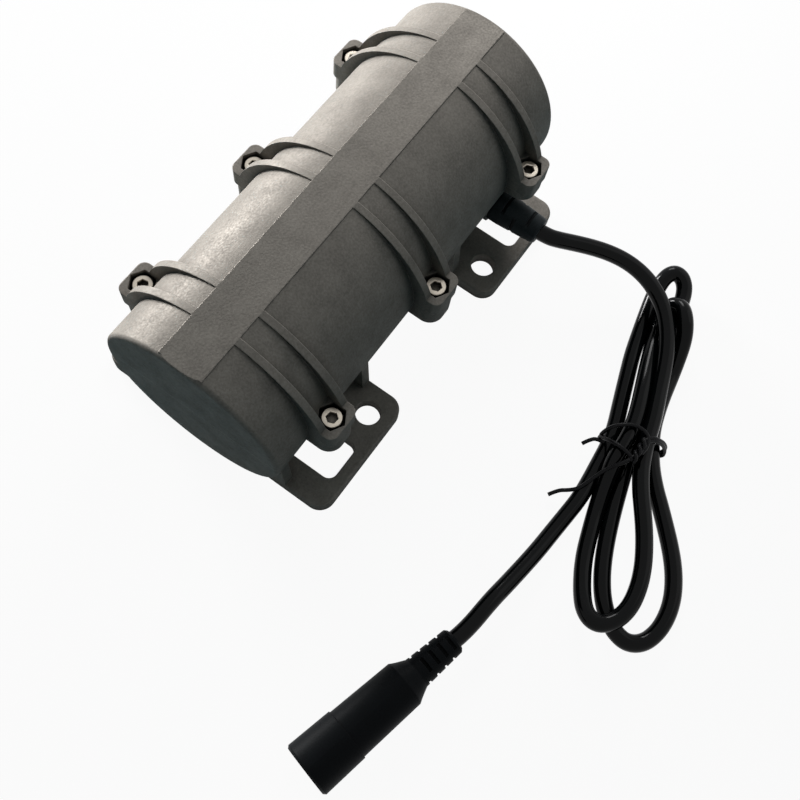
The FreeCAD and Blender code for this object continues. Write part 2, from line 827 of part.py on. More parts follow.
def rotor_shaft():
    half = size("shaft_half_length")
    body = new_body("rotor_shaft")
    axis, radius = size("axis_height"), size("shaft_radius")
    sketch = new_sketch(body, "shaft_section", "XZ_Plane")
    bevel = 0.5
    outline(sketch, (-half, axis), (-half, axis + radius - bevel), (bevel - half, axis + radius),
            (half - bevel, axis + radius), (half, axis + radius - bevel), (half, axis))
    spin(body, "Revolution", "shaft_turned", sketch, axis)
    return body


def rotor_magnets():
    """Four arc magnets round the core, with a gap between neighbours."""
    start, stop = SIZES["core_start"], SIZES["core_end"]
    span = 360 / POLES - SIZES["magnet_gap_deg"]
    at, along = Vector(start, 0, SIZES["axis_height"]), Vector(1, 0, 0)
    arcs = []
    for pole in range(POLES):
        sector = Part.makeCylinder(SIZES["magnet_radius"], stop - start, at, along, span)
        core = Part.makeCylinder(SIZES["rotor_radius"] + HUG, stop - start, at, along)
        arcs.append(turned(sector.cut(core), pole * 360 / POLES))
    return plain("rotor_magnets", Part.makeCompound(arcs))


def shaft_spacers():
    gap = size("shaft_radius") + HUG
    seat = size("seat_end") - size("bearing_width")
    near = ring("near_spacer", size("spacer_radius"), gap, -seat, size("core_start"))
    far = ring("far_spacer", size("spacer_radius"), gap, size("core_end"), seat)
    return compound("shaft_spacers", near, far)


def eccentric_weight(label, side):
    """A half disc that hangs below the shaft, with a hub for its set screw."""
    body = new_body(label)
    axis, hub, reach = size("axis_height"), size("weight_hub"), size("weight_radius")
    start = size("weight_start") if side > 0 else -size("weight_start") - size("weight_length")
    profile = new_sketch(body, f"{label}_profile", "YZ_Plane", start)
    outline(profile, (-reach, axis, reach, 1), (0, axis - reach, reach, 1), (reach, axis),
            (hub, axis, hub, 1), (0, axis + hub, hub, 1), (-hub, axis))
    circle(profile, 0, axis, size("shaft_radius") + HUG)
    feature(body, "Pad", f"{label}_block", profile, Length=size("weight_length"))
    tapping = new_sketch(body, f"{label}_thread", "XY_Plane", axis + hub + 1)
    circle(tapping, start + size("weight_length") / 2, 0, size("set_screw_radius") + 0.03)
    feature(body, "Pocket", f"{label}_screw_hole", tapping, Length=hub)
    return body


def weight_set_screws():
    screws = []
    length = SIZES["weight_hub"] - SIZES["shaft_radius"] - 0.7
    foot = SIZES["axis_height"] + SIZES["shaft_radius"]
    for side in (-1, 1):
        along = side * (SIZES["weight_start"] + SIZES["weight_length"] / 2)
        screw = Part.makeCylinder(SIZES["set_screw_radius"], length, Vector(along, 0, foot))
        socket = hexagon(2.0, 2.0)
        socket.translate(Vector(along, 0, foot + length - 2.0))
        screws.append(screw.cut(socket))
    return plain("weight_set_screws", Part.makeCompound(screws))


# ---------------------------------------------------------------- cord, strain relief, socket


def bent_wire(points, share=0.45, fixed=None):
    """Straight runs joined by tangent arcs, each as large as its two runs allow."""
    points = [Vector(*point) for point in points]
    pieces, radii, here = [], [], points[0]
    for before, corner, after in zip(points, points[1:], points[2:]):
        towards, onwards = corner - before, after - corner
        turn = towards.getAngle(onwards)
        radius = share * min(towards.Length, onwards.Length) / math.tan(turn / 2)
        radius = min(radius, fixed) if fixed else radius
        reach = radius * math.tan(turn / 2)
        towards.normalize()
        onwards.normalize()
        enter, leave = corner - towards * reach, corner + onwards * reach
        inward = (onwards - towards).normalize()
        middle = corner + inward * (radius / math.cos(turn / 2) - radius)
        pieces.append(Part.LineSegment(here, enter).toShape())
        pieces.append(Part.Arc(enter, middle, leave).toShape())
        radii.append(radius)
        here = leave
    pieces.append(Part.LineSegment(here, points[-1]).toShape())
    return Part.Wire(pieces), radii


def tube(points, radius, fixed=None):
    """A round solid along the points, checked against its section times its length."""
    wire, radii = bent_wire(points, fixed=fixed)
    towards = Vector(*points[1]) - Vector(*points[0])
    section = Part.Wire(Part.makeCircle(radius, Vector(*points[0]), towards))
    solid = wire.makePipeShell([section], True, True)
    expected = math.pi * radius * radius * wire.Length
    if abs(solid.Volume - expected) > 0.01 * expected:
        raise ValueError(f"tube volume {solid.Volume:.1f}, expected {expected:.1f}")
    return solid, wire.Length, radii


def wire_places():
    """Where the two feed wires pass the far cap."""
    return [at_turn(12.7, WIRE_TURN + side * 6.0) for side in (-1, 1)]


def at_turn(reach, degrees):
    """The point at this distance from the shaft axis, at this angle from +Y towards +Z."""
    turn = math.radians(degrees)
    return Vector(0, reach * math.cos(turn), SIZES["axis_height"] + reach * math.sin(turn))


def feed_wires():
    """The two cores, from the strain relief along the chamber wall to the driver board."""
    wires = []
    board = SIZES["can_half_length"] - SIZES["spigot_length"]
    step = SIZES["chamber_start"] + 1.7
    for side, place in zip((-1, 1), wire_places()):
        wall = at_turn(21.2, WIRE_TURN + side * 2.5)
        along = SIZES["exit_along"] + side
        route = [(along, -SIZES["relief_neck_end"], wall.z), (along, wall.y, wall.z),
                 (step, wall.y, wall.z), (step, place.y, place.z), (board, place.y, place.z)]
        solid, _, _ = tube(route, 0.7, fixed=1.0)
        wires.append(solid)
    return plain("feed_wires", Part.makeCompound(wires))


def strain_relief():
    """A tapered bush with a neck in the housing wall and three rows of staggered slots."""
    body = new_body("strain_relief")
    along, up, face = size("exit_along"), size("exit_height"), size("exit_face")
    base, tip = size("relief_radius"), size("relief_tip_radius")
    neck = size("exit_hole") - 0.12
    end = face + size("relief_length")
    sketch = new_sketch(body, "relief_section", "XY_Plane", up)
    outline(sketch, (along, -size("relief_neck_end")), (along + neck, -size("relief_neck_end")),
            (along + neck, -face), (along + base, -face), (along + base, -face - 3.2),
            (along + tip, 0.5 - end), (along + tip - 0.5, -end), (along, -end))
    line = Part.LineSegment(Vector(along.value, -1, 0), Vector(along.value, 1, 0))
    item = sketch.addGeometry(line, True)
    sketch.addConstraint(Sketcher.Constraint("Vertical", item))
    pin_point(sketch, item, 1, along, -1)
    made = body.newObject("PartDesign::Revolution", "relief_turned")
    made.Profile = (sketch, [""])
    made.ReferenceAxis = (sketch, ["Axis0"])
    made.Angle = 360
    core, slot = size("relief_core"), size("relief_slot")
    reach, edge = base + 1, size("relief_radius")
    for number in range(3):
        level = face + 3.2 + number * size("relief_slot_pitch")
        plan = new_sketch(body, f"relief_slot_{number}", "XZ_Plane", level + slot)
        for side in (-1, 1):
            if number % 2:
                outline(plan, (along + side * core, up - edge), (along + side * reach, up - edge),
                        (along + side * reach, up + edge), (along + side * core, up + edge))
            else:
                outline(plan, (along - edge, up + side * core), (along - edge, up + side * reach),
                        (along + edge, up + side * reach), (along + edge, up + side * core))
        feature(body, "Pocket", f"relief_slots_{number}", plan, Length=slot)
    return body


LEAD = [(40.0, -39.3, 17.0), (40.0, -45.6, 17.0), (44.4, -52.8, 14.2), (50.0, -59.8, 9.8),
        (53.4, -67.6, 7.4), (51.6, -76.9, 7.05)]
TAIL = [(2.0, -90.9, 2.35), (-18.5, -88.9, 2.35), (-32.0, -88.0, 2.5), (-44.6, -87.0, 5.2),
        (-56.4, -85.0, 7.15), (-65.1, -82.8, 7.15)]
HANK = [(-3.0, -89.2), (44.0, -73.8), (63.0, -73.6), (68.5, -79.0), (61.0, -86.6), (48.5, -92.6),
        (11.0, -100.6), (-12.5, -121.5), (-27.0, -128.4), (-41.5, -127.6), (-43.2, -109.0),
        (-34.0, -98.6), (-20.0, -93.2)]
TIE_CENTRE = Vector(7.0, -93.6, 0)
TIE_ANGLE = 200.0


def rounded_loop(corners, radius):
    """A closed plane wire through the corners, each rounded by at most this radius."""
    points = [Vector(across, up, 0) for across, up in corners]
    start = (points[-1] + points[0]) / 2
    closed = [start, *points, start]
    wire, _ = bent_wire([tuple(point) for point in closed], fixed=radius)
    return wire


def tie_ring():
    """The closed band of the twist tie, standing round the hank's waist."""
    width, height, wall, band = 17.6, 11.6, 1.0, 1.6
    outer = Part.makeBox(band, width, height, Vector(-band / 2, -width / 2, 0))
    inner = Part.makeBox(band, width - 2 * wall, height - 2 * wall,
                         Vector(-band / 2, wall - width / 2, wall))
    outer = outer.makeFillet(3.0, [e for e in outer.Edges if e.BoundBox.XLength > 1])
    inner = inner.makeFillet(2.2, [e for e in inner.Edges if e.BoundBox.XLength > 1])
    knot = Part.makeCylinder(1.6, 3.6, Vector(-band / 2 - 2.0, -2.0, height - 0.6), Vector(1, 0, 0))
    band_shape = outer.cut(inner).fuse(knot)
    band_shape.Placement = FreeCAD.Placement(TIE_CENTRE, Rotation(Vector(0, 0, 1), TIE_ANGLE))
    return band_shape


def cord():
    radius = SIZES["cable_radius"]
    parts = []
    for label, points in (("cable_lead", LEAD), ("cable_tail", TAIL)):
        solid, length, radii = tube(points, radius)
        print(label, "length", round(length, 1), "radii", [round(value, 1) for value in radii])
        parts.append(plain(label, solid))
    tie = tie_ring()
    wall = 1.0
    bundle = Part.Face(rounded_loop(HANK, 9.0)).extrude(Vector(0, 0, 4 * radius))
    window = Part.makeBox(1.6, 40, 4 * radius + 2, Vector(-0.8, -20, -1))
    sleeve = Part.makeBox(1.6, 15.6, 4 * radius, Vector(-0.8, -7.8, wall))
    waist = window.cut(sleeve)
    waist.Placement = FreeCAD.Placement(TIE_CENTRE, Rotation(Vector(0, 0, 1), TIE_ANGLE))
    parts.append(plain("cable_hank", bundle.cut(waist)))
    parts.append(plain("cable_tie", tie))
    return parts


JACK_END = Vector(-65.1, -82.8, SIZES["jack_height"])
JACK_TURN = math.degrees(math.atan2(11.6, -45.4))


def at_jack(made):
    """Moves a piece drawn along +X from the neck's end to where the socket lies."""
    made.Placement = FreeCAD.Placement(JACK_END, Rotation(Vector(0, 0, 1), JACK_TURN))
    return made


def jack_parts():
    body = new_body("jack_body")
    neck, radius, end = size("jack_neck"), size("jack_radius"), size("jack_length")
    root_radius, shoulder = size("jack_neck_radius"), size("jack_shoulder")
    shoulder_radius, seam = size("jack_shoulder_radius"), size("jack_seam")
    sketch = new_sketch(body, "jack_section", "XZ_Plane")
    mouth, depth = size("jack_mouth"), size("jack_depth")
    outline(sketch, (0, 0), (0, 2.9), (0.6, root_radius - 0.6), (neck, root_radius),
            (shoulder - 1.4, shoulder_radius - 0.8), (shoulder, shoulder_radius),
            (seam, radius - 0.6), (seam, radius - 0.3), (end - 0.6, radius),
            (end, radius - 0.6), (end, mouth), (end - depth - 1, mouth), (end - depth - 1, 0))
    spin(body, "Revolution", "jack_turned", sketch, 0)
    slot, pitch = 0.9, 2.7
    for number in range(8):
        level = 1.3 + number * pitch / 2
        plan = new_sketch(body, f"jack_slot_{number}", "YZ_Plane", level + slot)
        near, far, edge = 2.75, 5.0, 1.9
        for side in (-1, 1):
            if number % 2:
                outline(plan, (side * near, -edge), (side * far, -edge), (side * far, edge),
                        (side * near, edge))
            else:
                outline(plan, (-edge, side * near), (edge, side * near), (edge, side * far),
                        (-edge, side * far))
        feature(body, "Pocket", f"jack_slots_{number}", plan, Length=slot)
    at_jack(body)
    sleeve = socket_tube("jack_barrel", mouth - HUG, mouth - 0.35, end - depth, end - 1)
    pin = at_jack(compound("jack_pin", rod("jack_pin_rod", 1.05, end - depth, end - 1)))
    return [body, sleeve, pin]


def socket_tube(label, outer, bore, start, stop):
    made = boolean("Cut", label, rod(f"{label}_outside", outer, start, stop),
                   rod(f"{label}_bore", bore, start - 1, stop + 1))
    made.Label = label
    return at_jack(made)


# ---------------------------------------------------------------- the whole


def build():
    gap = size("shaft_radius") + HUG
    parts = [upper_shell(), lower_shell(), shell_screws(), strain_relief(), feed_wires()]
    parts += [motor_can(), end_cap("near_end_cap", -1), end_cap("far_end_cap", 1), end_cap_screws()]
    parts += stator()
    parts += [driver_board(), rotor_shaft(), shaft_spacers(), rotor_magnets()]
    parts.append(ring("rotor_core", size("rotor_radius"), gap, size("core_start"), size("core_end")))
    for name, side in (("near", -1), ("far", 1)):
        parts.append(bearing_ring(f"{name}_bearing_outer_ring", side, True))
        parts.append(bearing_ring(f"{name}_bearing_inner_ring", side, False))
        parts.append(bearing_balls(f"{name}_bearing_balls", side))
        parts.append(ball_cage(f"{name}_bearing_cage", side))
        parts.append(eccentric_weight(f"{name}_weight", side))
    parts.append(weight_set_screws())
    parts += cord() + jack_parts()
    return parts


parts = build()
document.recompute()
failed = [item.Label for item in document.Objects
          if "Invalid" in item.State or "Error" in item.State]
if failed:
    raise RuntimeError(f"these failed: {failed}")
os.makedirs("parts", exist_ok=True)
for part in parts:
    if part.Shape.isNull() or not part.Shape.isValid():
        raise RuntimeError(f"{part.Label} has no valid shape")
    part.Shape.exportStep(os.path.join("parts", f"{part.Label}.step"))
    print(part.Label, len(part.Shape.Solids), round(part.Shape.Volume, 1))
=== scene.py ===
"""Vibration motor: a two-part cast housing on four bolted feet, six recessed cap screws, and a
glossy supply cord tied in a hank that ends in an in-line socket.

Metres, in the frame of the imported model: +X along the shaft, +Z up, the feet on z = 0.
"""

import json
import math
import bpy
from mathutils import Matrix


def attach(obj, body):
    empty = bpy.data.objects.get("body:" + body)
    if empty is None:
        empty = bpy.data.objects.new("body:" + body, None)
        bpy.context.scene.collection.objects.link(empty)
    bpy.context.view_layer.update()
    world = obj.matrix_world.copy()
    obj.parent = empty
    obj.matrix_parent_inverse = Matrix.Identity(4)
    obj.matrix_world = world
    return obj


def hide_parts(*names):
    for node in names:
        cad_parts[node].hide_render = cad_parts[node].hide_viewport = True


bl_info = {
    "name": "Vibration motor",
    "version": (1, 0, 0),
    "blender": (4, 2, 0),
    "location": "View3D > Sidebar > Vibration motor",
    "description": "Dresses the vibration motor and sets its stage",
    "category": "Object",
}

import bmesh
import bpy
from mathutils import Matrix, Vector

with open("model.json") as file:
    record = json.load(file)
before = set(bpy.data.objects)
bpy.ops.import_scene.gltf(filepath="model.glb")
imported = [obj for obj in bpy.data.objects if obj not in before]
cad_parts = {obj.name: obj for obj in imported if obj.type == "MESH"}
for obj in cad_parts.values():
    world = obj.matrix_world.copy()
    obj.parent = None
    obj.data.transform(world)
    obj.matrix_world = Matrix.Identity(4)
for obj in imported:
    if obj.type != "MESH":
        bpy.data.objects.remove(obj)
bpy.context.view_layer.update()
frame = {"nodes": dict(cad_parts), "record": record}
NODES = frame["nodes"]
MM = 0.001
AXIS_HEIGHT = 29 * MM

HOUSING_PIECES = ("upper_shell", "lower_shell")
CORD_END_PIECES = ("jack_body", "jack_barrel", "jack_pin", "strain_relief")

# ---------------------------------------------------------------- finishes

# How a finish draws its grain, the painted highlight on its edges and the painted shade in its
# recesses.
GRAIN_SHARE = 0.55            # of a blasted tone, to which slow clouds give the rest
NOISE_LOW = 0.34              # noise from here
NOISE_HIGH = 0.66             # to here is spread over all the shades
WAVE_PITCH = 0.31             # distance between the waves of a texture whose scale is 1
# The two below set the painted highlight on edges and the painted shade in recesses.
PALEST_PAINTED_EDGE = 0.75            # cosine of the turn at which an edge is at its palest
DARKEST_PAINTED_SHADE = 0.06         # share of its colour that the bottom of a recess keeps


def linear(colour):
    """A linear colour from an sRGB hex value such as 6b6660."""
    channels = [int(colour[at:at + 2], 16) / 255 for at in (0, 2, 4)]
    return [c / 12.92 if c <= 0.04045 else ((c + 0.055) / 1.055) ** 2.4 for c in channels] + [1.0]


def node(tree, kind, inputs=None, **settings):
    """Adds a node with its settings; an input is a value or the socket that feeds it."""
    made = tree.nodes.new(kind)
    for name, value in settings.items():
        setattr(made, name, value)
    for name, value in (inputs or {}).items():
        socket = made.inputs[name]
        if isinstance(value, bpy.types.NodeSocket):
            tree.links.new(value, socket)
        else:
            socket.default_value = value
    return made


def finish(name, colour, metallic, roughness, pattern=None, depth_mm=0.0, shades=(1.0, 1.0),
           sheen_swing=0.0, edge_mm=0.0, painted_edge_highlight=0.0, painted_shade_mm=0.0, painted_shade_cut=0.0,
           sockets=None):
    """A Principled finish. pattern gives a height field on Object coordinates, which stands
    proud by depth_mm and shifts the colour between the two shades, and the roughness by
    sheen_swing. Edges round off over edge_mm, and a painted highlight makes their colour paler
    by the share painted_edge_highlight. Painted shade darkens the colour in recesses within
    painted_shade_mm, fully where less than painted_shade_cut of the sky is open. sockets
    holds the shader's other values."""
    material = bpy.data.materials.new(name)
    material.use_nodes = True
    tree = material.node_tree
    tree.nodes.clear()
    shader = node(tree, "ShaderNodeBsdfPrincipled",
                  {"Base Color": linear(colour), "Metallic": metallic, "Roughness": roughness,
                   **(sockets or {})})
    tone = linear(colour)[:3]
    shares = []
    rounded = None
    if edge_mm:
        rounded = node(tree, "ShaderNodeBevel", {"Radius": edge_mm * MM}, samples=6).outputs[0]
    normal = rounded
    if pattern:
        place = node(tree, "ShaderNodeTexCoord").outputs["Object"]
        height, level = pattern(tree, place)
        shares.append(node(tree, "ShaderNodeMapRange", {"Value": level, "To Min": shades[0],
                                                        "To Max": shades[1]}).outputs[0])
        sheen = node(tree, "ShaderNodeMapRange", {"Value": level,
                                                  "To Min": roughness + sheen_swing,
                                                  "To Max": roughness - sheen_swing})
        tree.links.new(sheen.outputs[0], shader.inputs["Roughness"])
        bump = node(tree, "ShaderNodeBump", {"Height": height, "Distance": depth_mm * MM,
                                             "Strength": 1.0})
        if rounded:
            tree.links.new(rounded, bump.inputs["Normal"])
        normal = bump.outputs[0]
    # Painted shade: the colour darkens in recesses, as far as ambient occlusion finds them.
    if painted_shade_mm:
        sky = node(tree, "ShaderNodeAmbientOcclusion", {"Distance": painted_shade_mm * MM}, samples=8)
        shares.append(node(tree, "ShaderNodeMapRange", {"Value": sky.outputs["AO"],
                                                        "From Min": painted_shade_cut,
                                                        "To Min": DARKEST_PAINTED_SHADE}).outputs[0])
    # Painted highlight: the colour pales where the rounded normal turns from the face's own.
    if painted_edge_highlight:
        flat = node(tree, "ShaderNodeNewGeometry").outputs["Normal"]
        along = node(tree, "ShaderNodeVectorMath", {0: rounded, 1: flat}, operation="DOT_PRODUCT")
        shares.append(node(tree, "ShaderNodeMapRange", {"Value": along.outputs["Value"],
                                                        "From Min": 1.0,
                                                        "From Max": PALEST_PAINTED_EDGE, "To Min": 1.0,
                                                        "To Max": 1.0 + painted_edge_highlight}).outputs[0])
    # The colour is the grain's shades times the painted shade and the painted edge highlight.
    for share in shares:
        tone = node(tree, "ShaderNodeVectorMath", {0: tone, "Scale": share},
                    operation="SCALE").outputs[0]
    if shares:
        tree.links.new(tone, shader.inputs["Base Color"])
    if normal:
        tree.links.new(normal, shader.inputs["Normal"])
    node(tree, "ShaderNodeOutputMaterial", {"Surface": shader.outputs[0]})
    return material


def blasted(grain_mm, cloud_mm):
    """A fine pitted grain with slow clouds, as blasting or a matt mould leaves."""
    def pattern(tree, place):
        grain = node(tree, "ShaderNodeTexNoise",
                     {"Vector": place, "Scale": 1 / (grain_mm * MM), "Detail": 2.0}).outputs[0]
        cloud = node(tree, "ShaderNodeTexNoise",
                     {"Vector": place, "Scale": 1 / (cloud_mm * MM), "Detail": 4.0}).outputs[0]
        both = node(tree, "ShaderNodeMix", {"Factor": GRAIN_SHARE, 2: cloud, 3: grain})
        tone = node(tree, "ShaderNodeMapRange", {"Value": both.outputs[0],
                                                 "From Min": NOISE_LOW,
                                                 "From Max": NOISE_HIGH})
        return grain, tone.outputs[0]
    return pattern


def turned_rings(pitch_mm):
    """Concentric tool marks round the shaft axis."""
    def pattern(tree, place):
        centred = node(tree, "ShaderNodeMapping", {"Vector": place,
                                                   "Location": (0, 0, -AXIS_HEIGHT)})
        rings = node(tree, "ShaderNodeTexWave",
                     {"Vector": centred.outputs[0], "Scale": WAVE_PITCH / (pitch_mm * MM),
                      "Distortion": 0.3}, wave_type="RINGS", rings_direction="X")
        return rings.outputs["Fac"], rings.outputs["Fac"]
    return pattern


def stripes(pitch_mm, direction):
    """Even lines across this axis: stacked sheets, wound wire or a drawn surface."""
    def pattern(tree, place):
        lines = node(tree, "ShaderNodeTexWave",
                     {"Vector": place, "Scale": WAVE_PITCH / (pitch_mm * MM), "Distortion": 0.2},
                     wave_type="BANDS", bands_direction=direction)
        return lines.outputs["Fac"], lines.outputs["Fac"]
    return pattern


def make_finishes(edge_mm):
    """One finish for each real material, named for it, under the slot that it fills."""
    return {
        # Gravity-cast aluminium, blasted: dull, warm grey, with a fine even grain that is drawn
        # at 0.6 mm so that it shows. The rough skin mirrors almost nothing. Painted shade darkens
        # its recesses and a painted highlight pales its edges.
        "cast_housing": finish("blasted_cast_aluminium", "948e87", 0.1, 0.5,
                               blasted(grain_mm=0.6, cloud_mm=6.0), depth_mm=0.045,
                               shades=(0.82, 1.16), sheen_swing=0.1, edge_mm=edge_mm,
                               painted_edge_highlight=0.5, painted_shade_mm=3.0,
                               sockets={"Specular IOR Level": 0.0}),
        # Nickel-plated steel heads: bright, nearly white, with soft reflections. Painted shade
        # darkens their hex sockets.
        "bright_screws": finish("nickel_plated_steel", "cfc6b8", 0.8, 0.3, edge_mm=0.15,
                                painted_shade_mm=2.6, painted_shade_cut=0.38),
        # Moulded rubber: faded black, with a broad weak sheen. Painted shade darkens its grooves.
        "rubber_bush": finish("moulded_black_rubber", "33383a", 0.0, 0.5,
                              blasted(grain_mm=0.35, cloud_mm=3.0), depth_mm=0.02,
                              shades=(0.8, 1.2), edge_mm=0.25, painted_shade_mm=1.2,
                              painted_shade_cut=0.2, sockets={"Specular IOR Level": 0.06}),
        # Extruded vinyl insulation: saturated colour, smooth.
        "wire_insulation": finish("extruded_red_vinyl", "a81f1a", 0.0, 0.35),
        # Drawn steel tube, zinc plated: cool grey with fine draw lines.
        "case_steel": finish("zinc_plated_drawn_steel", "a9abab", 1.0, 0.35,
                             stripes(0.4, "X"), depth_mm=0.01, shades=(0.92, 1.05)),
        # Turned aluminium: light, with concentric tool marks.
        "turned_aluminium": finish("turned_aluminium", "c3c4c6", 1.0, 0.3,
                                   turned_rings(0.3), depth_mm=0.01, shades=(0.93, 1.04)),
        # Stacked silicon-steel stampings: dark and finely ribbed at the edges.
        "lamination_steel": finish("stacked_silicon_steel", "74777c", 1.0, 0.42,
                                   stripes(0.5, "X"), depth_mm=0.03, shades=(0.75, 1.1)),
        # Moulded nylon: ivory, with a soft gloss.
        "insulator_nylon": finish("moulded_natural_nylon", "dcd8c4", 0.0, 0.45),
        # Enamelled copper wire: orange brown under clear varnish, one ridge to a turn.
        "enamelled_copper": finish("enamelled_copper_wire", "b5622f", 0.85, 0.3,
                                   stripes(0.45, "DIAGONAL"), depth_mm=0.08,
                                   shades=(0.55, 1.15), sockets={"Coat Weight": 0.6}),
        # Glass laminate under green solder resist: smooth and slightly glossy.
        "board_laminate": finish("green_solder_resist", "1d5a37", 0.0, 0.3),
        # Ground and polished bearing steel: mirror bright.
        "bearing_steel": finish("polished_bearing_steel", "d2d3d4", 1.0, 0.12),
        # Pressed strip steel: slightly yellow, satin.
        "cage_steel": finish("pressed_strip_steel", "b9b2a2", 1.0, 0.35),
        # Flexible vinyl jacket: black with a wet gloss.
        "cable_jacket": finish("extruded_black_vinyl", "090b0d", 0.0, 0.12,
                               sockets={"Specular IOR Level": 0.1}),
        # Plastic-coated tie wire: black, a little duller than the cord.
        "tie_plastic": finish("coated_tie_wire", "121214", 0.0, 0.38,
                              sockets={"Specular IOR Level": 0.1}),
        # Moulded connector plastic: black satin, faintly textured. Painted shade darkens its
        # recesses.
        "socket_plastic": finish("moulded_black_plastic", "101214", 0.0, 0.5,
                                 blasted(grain_mm=0.4, cloud_mm=4.0), depth_mm=0.015,
                                 shades=(0.8, 1.2), edge_mm=0.3, painted_shade_mm=1.5,
                                 sockets={"Specular IOR Level": 0.04}),
        # Plated contacts: bright and slightly warm.
        "bright_contacts": finish("nickel_plated_brass", "d6d0c4", 1.0, 0.2),
        # Ground shafting: bright, satin.
        "shaft_steel": finish("ground_steel_bar", "c0c1c2", 1.0, 0.25,
                              stripes(0.3, "X"), depth_mm=0.005, shades=(0.95, 1.03)),
        # Turned brass: yellow with tool marks.
        "spacer_brass": finish("turned_brass", "c9a45a", 1.0, 0.28,
                               turned_rings(0.3), depth_mm=0.01, shades=(0.92, 1.05)),
        # Sintered magnet under nickel: grey and smooth, edges soft.
        "plated_magnet": finish("nickel_plated_magnet", "b6b7ba", 1.0, 0.3),
        # Sawn and milled steel block: dark grey with straight cutter marks.
        "weight_steel": finish("milled_mild_steel", "85868a", 1.0, 0.4,
                               stripes(0.8, "Z"), depth_mm=0.02, shades=(0.85, 1.08)),
        # Alloy steel under black oxide: nearly black, oily.
        "set_screw_steel": finish("black_oxide_steel", "2a2a2d", 0.8, 0.35),
    }


def dress(obj, material):
    """Gives every face of the piece this finish."""
    obj.data.materials.clear()
    obj.data.materials.append(material)


def place_piece(name, mesh, material, body, slot, *replaced):
    """Links a finished mesh as a piece that rides on a body and stands for CAD nodes."""
    obj = bpy.data.objects.new(name, mesh)
    bpy.context.scene.collection.objects.link(obj)
    dress(obj, material)
    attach(obj, body)
    if replaced:
        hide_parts(*replaced)
    return obj


# ---------------------------------------------------------------- properties


class StageProperties(bpy.types.PropertyGroup):
    floor_colour: bpy.props.FloatVectorProperty(
        name="Floor colour", description="Colour in which the floor is seen and mirrored",
        subtype="COLOR", size=4, default=(1.0, 1.0, 1.0, 1.0), min=0, max=1)
    floor_bounce: bpy.props.FloatVectorProperty(
        name="Floor bounce", description="Colour of the soft light that the floor throws back",
        subtype="COLOR", size=4, default=(0.12, 0.31, 0.40, 1.0), min=0, max=1)
    floor_glow: bpy.props.FloatProperty(
        name="Floor glow", description="Share of the floor's white that shadows don't reach",
        default=0.94, min=0, max=1)
    world_strength: bpy.props.FloatProperty(
        name="World", description="Strength of the soft light from all round",
        default=0.05, min=0)
    key_power: bpy.props.FloatProperty(
        name="Key light", description="Power of the large light over the plain side, in watts",
        default=9.0, min=0)
    fill_power: bpy.props.FloatProperty(
        name="Fill light", description="Power of the light on the cord side, in watts",
        default=0.66, min=0)
    top_power: bpy.props.FloatProperty(
        name="Top light", description="Power of the small light over the strip, in watts",
        default=0.34, min=0)
    lens: bpy.props.FloatProperty(
        name="Lens", description="Focal length on a sensor 36 mm wide, in mm",
        default=43.64, min=1)


class HousingProperties(bpy.types.PropertyGroup):
    edge_softness: bpy.props.FloatProperty(
        name="Edge softness", description="Rounding of the casting's edges",
        subtype="DISTANCE", unit="LENGTH", default=0.35 * MM, min=0)


class ScrewProperties(bpy.types.PropertyGroup):
    pitch: bpy.props.FloatProperty(
        name="Pitch", description="Distance between screws along the housing",
        subtype="DISTANCE", unit="LENGTH", default=44 * MM, min=0)
    span: bpy.props.FloatProperty(
        name="Span", description="Distance between the two rows of screws",
        subtype="DISTANCE", unit="LENGTH", default=58 * MM, min=0)
    head_top: bpy.props.FloatProperty(
        name="Head height", description="Height of the top of the heads over the floor",
        subtype="DISTANCE", unit="LENGTH", default=33.65 * MM, min=0)


class CordProperties(bpy.types.PropertyGroup):
    diameter: bpy.props.FloatProperty(
        name="Diameter", description="Outside diameter of the cord",
        subtype="DISTANCE", unit="LENGTH", default=4.7 * MM, min=0)
    tie_wire: bpy.props.FloatProperty(
        name="Tie wire", description="Diameter of the coated tie wire",
        subtype="DISTANCE", unit="LENGTH", default=1.1 * MM, min=0)


# ---------------------------------------------------------------- stage

# Where the camera stands, and the way to the right and to the top of its view.
CAMERA_PLACE = Vector((-0.107238, -0.073270, 0.251549))
CAMERA_RIGHT = Vector((0.57552, -0.81426, 0.07582))
CAMERA_UP = Vector((0.74911, 0.56211, 0.35053))
SENSOR_WIDTH_MM = 36
FLOOR_REACH = 4.0

# Each light's place and width in metres, and the setting that holds its power.
LIGHTS = {
    "key_light": ((0.17, 0.64, 0.10), 0.22, "key_power"),
    "fill_light": ((0.55, -0.45, 0.60), 0.6, "fill_power"),
    "top_light": ((0.22, 0.07, 0.16), 0.10, "top_power"),
}
LIGHT_TARGET = (0, 0, 0.02)
SKY_COLOUR = (0.58, 0.93, 1.0, 1.0)
WHITE = (1.0, 1.0, 1.0, 1.0)


def aim(obj, place, target):
    """Puts the object at a place with its -Z axis towards the target."""
    turn = (Vector(target) - Vector(place)).to_track_quat("-Z", "Y").to_matrix().to_4x4()
    obj.matrix_world = Matrix.Translation(place) @ turn


def seen_rays(tree):
    """1 where the floor or the world is seen, straight, mirrored or through glass."""
    rays = node(tree, "ShaderNodeLightPath").outputs
    either = node(tree, "ShaderNodeMath", {0: rays["Is Camera Ray"], 1: rays["Is Glossy Ray"]},
                  operation="MAXIMUM")
    return node(tree, "ShaderNodeMath", {0: either.outputs[0],
                                         1: rays["Is Transmission Ray"]},
                operation="MAXIMUM").outputs[0]


